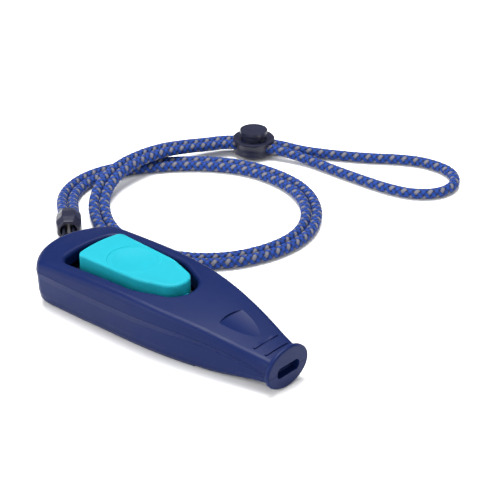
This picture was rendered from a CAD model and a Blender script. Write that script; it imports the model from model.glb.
"""Training whistle on a doubled braided lanyard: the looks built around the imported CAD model."""

from math import cos, pi, radians, sin

import bpy
import numpy as np
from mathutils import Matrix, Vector


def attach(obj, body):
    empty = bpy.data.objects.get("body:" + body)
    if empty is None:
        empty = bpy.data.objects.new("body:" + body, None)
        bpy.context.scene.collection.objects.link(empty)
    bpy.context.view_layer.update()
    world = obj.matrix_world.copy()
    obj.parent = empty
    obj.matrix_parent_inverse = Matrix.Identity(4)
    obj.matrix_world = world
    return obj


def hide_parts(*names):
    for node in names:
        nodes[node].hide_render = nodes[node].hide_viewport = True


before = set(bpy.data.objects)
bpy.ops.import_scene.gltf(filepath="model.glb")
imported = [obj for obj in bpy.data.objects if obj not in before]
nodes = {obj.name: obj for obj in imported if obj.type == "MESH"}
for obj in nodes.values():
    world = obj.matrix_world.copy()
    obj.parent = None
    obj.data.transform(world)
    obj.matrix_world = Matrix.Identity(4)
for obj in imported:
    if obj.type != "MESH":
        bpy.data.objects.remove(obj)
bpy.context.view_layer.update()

# ---------------------------------------------------------------- camera

CAMERA_TARGET = Vector((-0.024, 0.06325, 0.0))
CAMERA_DISTANCE = 0.627
CAMERA_AZIMUTH, CAMERA_ELEVATION = radians(42.08), radians(28.38)
CAMERA_LENS, CAMERA_SENSOR = 125.65, 36.0  # millimetres

camera = bpy.data.objects.new("camera", bpy.data.cameras.new("camera"))
bpy.context.scene.collection.objects.link(camera)
camera.data.lens = CAMERA_LENS
camera.data.sensor_width = CAMERA_SENSOR
camera.data.clip_start, camera.data.clip_end = 0.01, 20.0
backward = Vector(
    (
        sin(CAMERA_AZIMUTH) * cos(CAMERA_ELEVATION),
        -cos(CAMERA_AZIMUTH) * cos(CAMERA_ELEVATION),
        sin(CAMERA_ELEVATION),
    )
)
camera.location = CAMERA_TARGET + backward * CAMERA_DISTANCE
camera.rotation_euler = (-backward).to_track_quat("-Z", "Y").to_euler()
bpy.context.scene.camera = camera

# ---------------------------------------------------------------- cord

# The route, in metres: out of the connector, round the ring, over itself, through the lock, round
# the hand loop, and back beside itself to the connector
CORD_ROUTE = [
    (-0.07700, 0.02290, 0.00500),
    (-0.08320, 0.02860, 0.00500),
    (-0.09180, 0.03530, 0.00290),
    (-0.09890, 0.04340, 0.00210),
    (-0.10280, 0.05420, 0.00205),
    (-0.10240, 0.06580, 0.00205),
    (-0.09780, 0.07690, 0.00205),
    (-0.09090, 0.08750, 0.00205),
    (-0.08200, 0.09740, 0.00205),
    (-0.07160, 0.10520, 0.00205),
    (-0.05970, 0.11040, 0.00205),
    (-0.04680, 0.11180, 0.00205),
    (-0.03400, 0.11010, 0.00205),
    (-0.02210, 0.10430, 0.00205),
    (-0.01230, 0.09490, 0.00205),
    (-0.00600, 0.08360, 0.00205),
    (-0.00380, 0.07120, 0.00205),
    (-0.00620, 0.05690, 0.00205),
    (-0.01270, 0.04410, 0.00205),
    (-0.02330, 0.03420, 0.00205),
    (-0.03700, 0.02840, 0.00205),
    (-0.05160, 0.02740, 0.00205),
    (-0.06550, 0.03140, 0.00205),
    (-0.07780, 0.03900, 0.00220),
    (-0.08600, 0.04740, 0.00360),
    (-0.09120, 0.05730, 0.00560),
    (-0.09360, 0.06810, 0.00690),
    (-0.09400, 0.07910, 0.00700),
    (-0.09250, 0.08990, 0.00690),
    (-0.08920, 0.09990, 0.00610),
    (-0.08570, 0.10920, 0.00490),
    (-0.07960, 0.12040, 0.00455),
    (-0.06270, 0.12900, 0.00455),
    (-0.05320, 0.13360, 0.00290),
    (-0.04260, 0.14060, 0.00205),
    (-0.03040, 0.14760, 0.00205),
    (-0.01940, 0.15600, 0.00205),
    (-0.00950, 0.16070, 0.00205),
    (0.00310, 0.16050, 0.00205),
    (0.01100, 0.15250, 0.00205),
    (0.01090, 0.14130, 0.00205),
    (0.00300, 0.13360, 0.00205),
    (-0.00820, 0.13100, 0.00205),
    (-0.02000, 0.13030, 0.00205),
    (-0.03400, 0.12990, 0.00205),
    (-0.04760, 0.12980, 0.00230),
    (-0.06080, 0.12520, 0.00455),
    (-0.07770, 0.11660, 0.00455),
    (-0.08190, 0.10760, 0.00490),
    (-0.08520, 0.09850, 0.00610),
    (-0.08830, 0.08890, 0.00690),
    (-0.08980, 0.07890, 0.00700),
    (-0.08940, 0.06870, 0.00690),
    (-0.08720, 0.05870, 0.00560),
    (-0.08260, 0.04980, 0.00360),
    (-0.07520, 0.04240, 0.00220),
    (-0.06370, 0.03530, 0.00205),
    (-0.05120, 0.03170, 0.00205),
    (-0.03800, 0.03270, 0.00205),
    (-0.02570, 0.03770, 0.00205),
    (-0.01610, 0.04670, 0.00205),
    (-0.01020, 0.05840, 0.00205),
    (-0.00800, 0.07120, 0.00205),
    (-0.01000, 0.08220, 0.00205),
    (-0.01570, 0.09220, 0.00205),
    (-0.02450, 0.10080, 0.00205),
    (-0.03520, 0.10590, 0.00205),
    (-0.04680, 0.10750, 0.00205),
    (-0.05870, 0.10630, 0.00205),
    (-0.06940, 0.10140, 0.00205),
    (-0.07920, 0.09410, 0.00205),
    (-0.08750, 0.08480, 0.00205),
    (-0.09400, 0.07480, 0.00205),
    (-0.09820, 0.06500, 0.00205),
    (-0.09840, 0.05500, 0.00205),
    (-0.09510, 0.04560, 0.00210),
    (-0.08870, 0.03820, 0.00290),
    (-0.08040, 0.03160, 0.00500),
    (-0.07410, 0.02580, 0.00500),
]
STRANDS = 4  # yarns running each way round the cord
STRAND_PITCH = 0.0098  # length along the cord in which a yarn goes once round it
RING_STEP = 0.00037
RING_POINTS = 36
YARN_SHARE = 0.86  # how much of its lane each yarn fills
CORD_LOW, CORD_HIGH = 0.00158, 0.00208  # radius in the hollows and on the crowns of the braid
CROWN_RISE = 0.62  # share of the braid's height that comes from each yarn's round section
WEAVE_RISE = 0.19  # half the share that comes from the yarn passing over and under


def spline_points(name, route, step):
    """Points evenly spaced along the smooth curve that the route's points control."""
    curve = bpy.data.curves.new(name, "CURVE")
    curve.dimensions = "3D"
    curve.resolution_u = 24
    spline = curve.splines.new("NURBS")
    spline.points.add(len(route) - 1)
    for point, place in zip(spline.points, route):
        point.co = (*place, 1.0)
    spline.order_u = 3
    spline.use_endpoint_u = True
    guide = bpy.data.objects.new(name, curve)
    line = bpy.data.meshes.new_from_object(guide)
    places = np.array([vertex.co[:] for vertex in line.vertices])
    bpy.data.objects.remove(guide)
    run = np.concatenate([[0.0], np.cumsum(np.linalg.norm(np.diff(places, axis=0), axis=1))])
    spots = np.linspace(0.0, run[-1], int(run[-1] / step) + 1)
    return np.stack([np.interp(spots, run, places[:, axis]) for axis in range(3)], axis=1), spots


def turning_frames(line):
    """Two directions across the line at each point, carried along it without twisting."""
    tangent = np.gradient(line, axis=0)
    tangent /= np.linalg.norm(tangent, axis=1)[:, None]
    side = np.cross(tangent[0], (0.0, 0.0, 1.0))
    sides = []
    for direction in tangent:
        side = side - direction * (side @ direction)
        side = side / np.linalg.norm(side)
        sides.append(side)
    sides = np.array(sides)
    return sides, np.cross(tangent, sides)


def braid_height(turn, advance):
    """Height of the braid's surface, 0 to 1, where one yarn passes over and under the others."""
    first, second = turn + advance, turn - advance
    heights = []
    for across, along, sign in ((first, second, 1.0), (second, first, -1.0)):
        yarn = np.floor(across)
        crown = np.sqrt(np.clip(1.0 - ((2.0 * (across - yarn) - 1.0) / YARN_SHARE) ** 2, 0.0, 1.0))
        rise = sign * np.cos(pi * (along - 0.5 + yarn))
        heights.append(CROWN_RISE * crown + WEAVE_RISE * (rise + 1.0))
    return np.maximum(*heights)


def braided_cord(name, route):
    """The braided cord as one closed tube along the route, and the points that it follows."""
    line, spots = spline_points(name + "_guide", route, RING_STEP)
    sides, ups = turning_frames(line)
    turn = np.arange(RING_POINTS) / RING_POINTS
    advance = spots * STRANDS / STRAND_PITCH
    height = braid_height(turn[None, :] * STRANDS, advance[:, None])
    radius = CORD_LOW + (CORD_HIGH - CORD_LOW) * height
    across = np.cos(2 * pi * turn)[None, :, None] * sides[:, None, :]
    upward = np.sin(2 * pi * turn)[None, :, None] * ups[:, None, :]
    vertices = line[:, None, :] + radius[:, :, None] * (across + upward)
    rings = len(line)
    index = np.arange(rings * RING_POINTS).reshape(rings, RING_POINTS)
    beside = np.roll(index, -1, axis=1)
    quads = np.stack([index[:-1], beside[:-1], beside[1:], index[1:]], axis=-1).reshape(-1, 4)
    faces = quads.tolist() + [index[0][::-1].tolist(), index[-1].tolist()]
    mesh = bpy.data.meshes.new(name)
    mesh.from_pydata(vertices.reshape(-1, 3).tolist(), [], faces)
    column = np.tile(np.arange(RING_POINTS), rings - 1)
    row = np.repeat(np.arange(rings - 1), RING_POINTS)
    corner_turn = np.stack([column, column + 1, column + 1, column], axis=-1) * STRANDS / RING_POINTS
    corner_advance = advance[np.stack([row, row, row + 1, row + 1], axis=-1)]
    corners = np.stack([corner_turn, corner_advance], axis=-1).reshape(-1)
    layer = mesh.uv_layers.new(name="braid")
    layer.data.foreach_set("uv", np.concatenate([corners, np.zeros(4 * RING_POINTS)]))
    mesh.polygons.foreach_set("use_smooth", [True] * len(mesh.polygons))
    cord = bpy.data.objects.new(name, mesh)
    bpy.context.scene.collection.objects.link(cord)
    return cord, line


cord, cord_line = braided_cord("braided_cord", CORD_ROUTE)
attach(cord, "lanyard")
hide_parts("lanyard_cord")

# ---------------------------------------------------------------- materials


class Finish:
    """A material's node tree, built with short calls."""

    def __init__(self, name, roughness, specular=0.5):
        self.material = bpy.data.materials.new(name)
        self.material.use_nodes = True
        self.tree = self.material.node_tree
        self.surface = self.tree.nodes["Principled BSDF"]
        self.surface.inputs["Roughness"].default_value = roughness
        self.surface.inputs["Specular IOR Level"].default_value = specular

    def node(self, kind, output, **inputs):
        """Adds a node, fills its inputs by name or number, and returns one output."""
        made = self.tree.nodes.new(kind)
        for key, value in inputs.items():
            if hasattr(made, key):
                setattr(made, key, value)
                continue
            socket = made.inputs[int(key[1:]) if key[1:].isdigit() else key.replace("_", " ")]
            self.feed(socket, value)
        return made.outputs[output]

    def feed(self, socket, value):
        """Links an output to a socket, or sets the socket's number or colour."""
        if isinstance(value, bpy.types.NodeSocket):
            self.tree.links.new(value, socket)
        else:
            socket.default_value = value

    def calc(self, operation, *values):
        """A maths node on numbers or outputs."""
        inputs = {f"i{place}": value for place, value in enumerate(values)}
        return self.node("ShaderNodeMath", 0, operation=operation, **inputs)

    def spread(self, value, low, high, new_low, new_high):
        """Maps a value from one range to another, held within the new one."""
        return self.node("ShaderNodeMapRange", 0, i0=value, i1=low, i2=high, i3=new_low, i4=new_high)

    def blend(self, share, first, second):
        """Mixes two colours."""
        return self.node("ShaderNodeMix", 2, data_type="RGBA", i0=share, i6=first, i7=second)

    def place(self, scale=(1.0, 1.0, 1.0)):
        """Coordinates in the object's own frame, stretched by a scale on each axis."""
        own = self.node("ShaderNodeTexCoord", "Object")
        return self.node("ShaderNodeMapping", 0, Vector=own, Scale=scale)

    def noise(self, where, scale, detail=3.0):
        """Grey noise between 0 and 1."""
        return self.node("ShaderNodeTexNoise", 0, Vector=where, Scale=scale, Detail=detail)

    def use(self, socket, value):
        """Feeds one of the surface's own sockets."""
        self.feed(self.surface.inputs[socket], value)

    def bump(self, height, strength, depth):
        """Raises the surface by a height map."""
        self.use("Normal", self.node("ShaderNodeBump", 0, Strength=strength, Distance=depth, Height=height))


def tint(colour, factor):
    """A colour made lighter or darker, with full cover."""
    return (*[min(1.0, channel * factor) for channel in colour], 1.0)


def moulded_plastic(name, colour, roughness, gloss=0.12, grain=3200.0, relief=0.10):
    """Satin moulded plastic: a fine spark-eroded grain, faint flow marks and uneven gloss."""
    made = Finish(name, roughness, gloss)
    flow = made.noise(made.place((18.0, 45.0, 45.0)), 1.0, 2.0)
    pores = made.noise(made.place(), grain, 2.0)
    rubbed = made.noise(made.place(), 160.0, 4.0)
    streaks = made.spread(flow, 0.3, 0.7, 0.0, 1.0)
    wear = made.calc("ADD", pores, rubbed)
    made.use("Base Color", made.blend(streaks, tint(colour, 0.93), tint(colour, 1.07)))
    made.use("Roughness", made.spread(wear, 0.7, 1.3, roughness - 0.06, roughness + 0.06))
    made.bump(pores, relief, 0.00004)
    return made.material


def steel(name, colour, roughness, brush):
    """Plain steel with fine drawing lines along one axis and a little uneven tone."""
    made = Finish(name, roughness)
    made.use("Metallic", 1.0)
    lines = made.noise(made.place(brush), 1.0, 4.0)
    stains = made.noise(made.place(), 350.0, 3.0)
    patches = made.spread(stains, 0.3, 0.7, 0.0, 1.0)
    made.use("Base Color", made.blend(patches, tint(colour, 0.82), tint(colour, 1.1)))
    made.use("Roughness", made.spread(lines, 0.3, 0.7, roughness - 0.08, roughness + 0.1))
    made.bump(lines, 0.15, 0.00003)
    return made.material


def braid(name, blue, deep, fleck):
    """Braided polyester: blue yarns with every second one of one direction grey."""
    made = Finish(name, 0.72, 0.25)
    made.surface.inputs["Sheen Weight"].default_value = 0.08
    made.surface.inputs["Sheen Roughness"].default_value = 0.4
    made.surface.inputs["Sheen Tint"].default_value = (0.5, 0.6, 1.0, 1.0)
    spot = made.node("ShaderNodeUVMap", 0, uv_map="braid")
    turn = made.node("ShaderNodeSeparateXYZ", 0, Vector=spot)
    advance = made.node("ShaderNodeSeparateXYZ", 1, Vector=spot)
    first, second = made.calc("ADD", turn, advance), made.calc("SUBTRACT", turn, advance)
    heights, fibres, yarns = [], [], []
    for across, along, rise in ((first, second, WEAVE_RISE), (second, first, -WEAVE_RISE)):
        yarn = made.calc("FLOOR", across)
        doubled = made.calc("MULTIPLY", made.calc("SUBTRACT", across, yarn), 2.0)
        middle = made.calc("DIVIDE", made.calc("SUBTRACT", doubled, 1.0), YARN_SHARE)
        below = made.calc("SUBTRACT", 1.0, made.calc("MULTIPLY", middle, middle))
        crown = made.calc("SQRT", made.calc("MAXIMUM", below, 0.0))
        phase = made.calc("ADD", made.calc("SUBTRACT", along, 0.5), yarn)
        wave = made.calc("COSINE", made.calc("MULTIPLY", phase, pi))
        weave = made.calc("MULTIPLY_ADD", wave, rise, WEAVE_RISE)
        heights.append(made.calc("ADD", made.calc("MULTIPLY", crown, CROWN_RISE), weave))
        thread = made.node("ShaderNodeCombineXYZ", 0, X=made.calc("MULTIPLY", across, 9.0), Y=along, Z=yarn)
        fibres.append(made.noise(thread, 1.6, 2.0))
        yarns.append(yarn)
    over = made.calc("GREATER_THAN", heights[0], heights[1])
    height = made.calc("MAXIMUM", *heights)
    fibre = made.node("ShaderNodeMix", 0, i0=over, i2=fibres[1], i3=fibres[0])
    odd = made.calc("GREATER_THAN", made.calc("FLOORED_MODULO", yarns[0], 2.0), 0.5)
    grey = made.calc("MULTIPLY", over, odd)
    light = made.spread(made.calc("MULTIPLY_ADD", fibre, 0.6, height), 0.78, 1.32, 0.0, 1.0)
    blues = made.blend(light, tint(deep, 1.0), tint(blue, 1.0))
    greys = made.blend(light, tint(fleck, 0.3), tint(fleck, 1.0))
    made.use("Base Color", made.blend(grey, blues, greys))
    made.bump(made.calc("MULTIPLY_ADD", fibre, 0.5, height), 0.5, 0.00025)
    return made.material


NAVY = (0.0030, 0.0100, 0.062)
CYAN = (0.008, 0.28, 0.35)
CHARCOAL = (0.012, 0.013, 0.030)
CORD_BLUE, CORD_SHADOW, CORD_FLECK = (0.004, 0.040, 0.250), (0.0004, 0.0016, 0.010), (0.14, 0.14, 0.18)
shell_finish = moulded_plastic("navy_moulding", NAVY, 0.42)
button_finish = moulded_plastic("cyan_moulding", CYAN, 0.5)
button_surface = button_finish.node_tree.nodes["Principled BSDF"].inputs
button_surface["Subsurface Weight"].default_value = 0.6
button_surface["Subsurface Radius"].default_value = (0.4, 1.0, 1.0)
button_surface["Subsurface Scale"].default_value = 0.004
dark_finish = moulded_plastic("dark_moulding", (0.008, 0.010, 0.022), 0.55)
insert_finish = moulded_plastic("insert_moulding", (0.012, 0.022, 0.085), 0.5)
fitting_finish = moulded_plastic("charcoal_moulding", CHARCOAL, 0.33, gloss=0.3, relief=0.16)
steel_finish = steel("plain_steel", (0.55, 0.55, 0.57), 0.32, (300.0, 4000.0, 4000.0))
dark_steel = steel("blackened_steel", (0.10, 0.10, 0.11), 0.42, (900.0, 900.0, 4000.0))
spring_steel = steel("spring_steel", (0.62, 0.62, 0.65), 0.25, (200.0, 6000.0, 6000.0))
FINISHES = {
    "top_shell": shell_finish,
    "bottom_shell": shell_finish,
    "clicker_button": button_finish,
    "mechanism_frame": dark_finish,
    "windway_insert": insert_finish,
    "connector_body": fitting_finish,
    "connector_cover": fitting_finish,
    "lock_body": fitting_finish,
    "lock_plunger": fitting_finish,
    "frame_screws": dark_steel,
    "case_screws": steel_finish,
    "clamp_screws": steel_finish,
    "strip_clamp": steel_finish,
    "lanyard_pin": steel_finish,
    "lanyard_link": dark_finish,
    "connector_pin": dark_steel,
    "click_strip": spring_steel,
    "lock_spring": spring_steel,
}
for name, finish in FINISHES.items():
    for place in nodes[name].material_slots:
        place.material = finish
cord.data.materials.append(braid("braided_cord", CORD_BLUE, CORD_SHADOW, CORD_FLECK))

# ---------------------------------------------------------------- floor and light


def area_light(name, place, aim, size, power):
    """A soft square light at a place, turned towards a point."""
    lamp = bpy.data.lights.new(name, "AREA")
    lamp.size = size
    lamp.energy = power
    light = bpy.data.objects.new(name, lamp)
    bpy.context.scene.collection.objects.link(light)
    light.location = place
    light.rotation_euler = (Vector(aim) - Vector(place)).to_track_quat("-Z", "Y").to_euler()


FLOOR_REACH = 6.0
FLOOR_DROP = 0.0002  # keeps the floor clear of the faces that rest on it
LIGHT_AIM = (-0.02, 0.05, 0.0)
SKY_DIRECTION = (0.66, -0.72, 0.20)  # the side from which the surroundings are brightest
SKY_RANGE = (-0.6, 0.8, 0.12, 0.75)  # from and to along that direction, and the strengths there

floor_mesh = bpy.data.meshes.new("floor")
floor_corners = [(x * FLOOR_REACH, y * FLOOR_REACH, 0) for x, y in ((-1, -1), (1, -1), (1, 1), (-1, 1))]
floor_mesh.from_pydata(floor_corners, [], [(0, 1, 2, 3)])
floor = bpy.data.objects.new("floor", floor_mesh)
bpy.context.scene.collection.objects.link(floor)
floor.location.z = -FLOOR_DROP
paper = Finish("white_floor", 0.9, 0.1)
paper.use("Base Color", (0.93, 0.93, 0.93, 1.0))
floor_mesh.materials.append(paper.material)

area_light("top_light", (-0.22, 0.22, 1.20), LIGHT_AIM, 0.8, 29.0)
area_light("front_light", (0.9, -0.3, 0.50), LIGHT_AIM, 0.7, 2.0)
area_light("left_light", (-0.45, -0.95, 0.50), LIGHT_AIM, 0.8, 9.5)
world = bpy.data.worlds.new("studio")
world.use_nodes = True
air = world.node_tree
heading = air.nodes.new("ShaderNodeTexCoord")
facing = air.nodes.new("ShaderNodeVectorMath")
facing.operation = "DOT_PRODUCT"
facing.inputs[1].default_value = SKY_DIRECTION
shade = air.nodes.new("ShaderNodeMapRange")
for socket, value in zip(range(1, 5), SKY_RANGE):
    shade.inputs[socket].default_value = value
air.links.new(heading.outputs["Generated"], facing.inputs[0])
air.links.new(facing.outputs["Value"], shade.inputs[0])
air.links.new(shade.outputs[0], air.nodes["Background"].inputs["Strength"])
air.nodes["Background"].inputs["Color"].default_value = (1.0, 1.0, 1.0, 1.0)
bpy.context.scene.world = world
bpy.context.scene.view_settings.view_transform = "Standard"
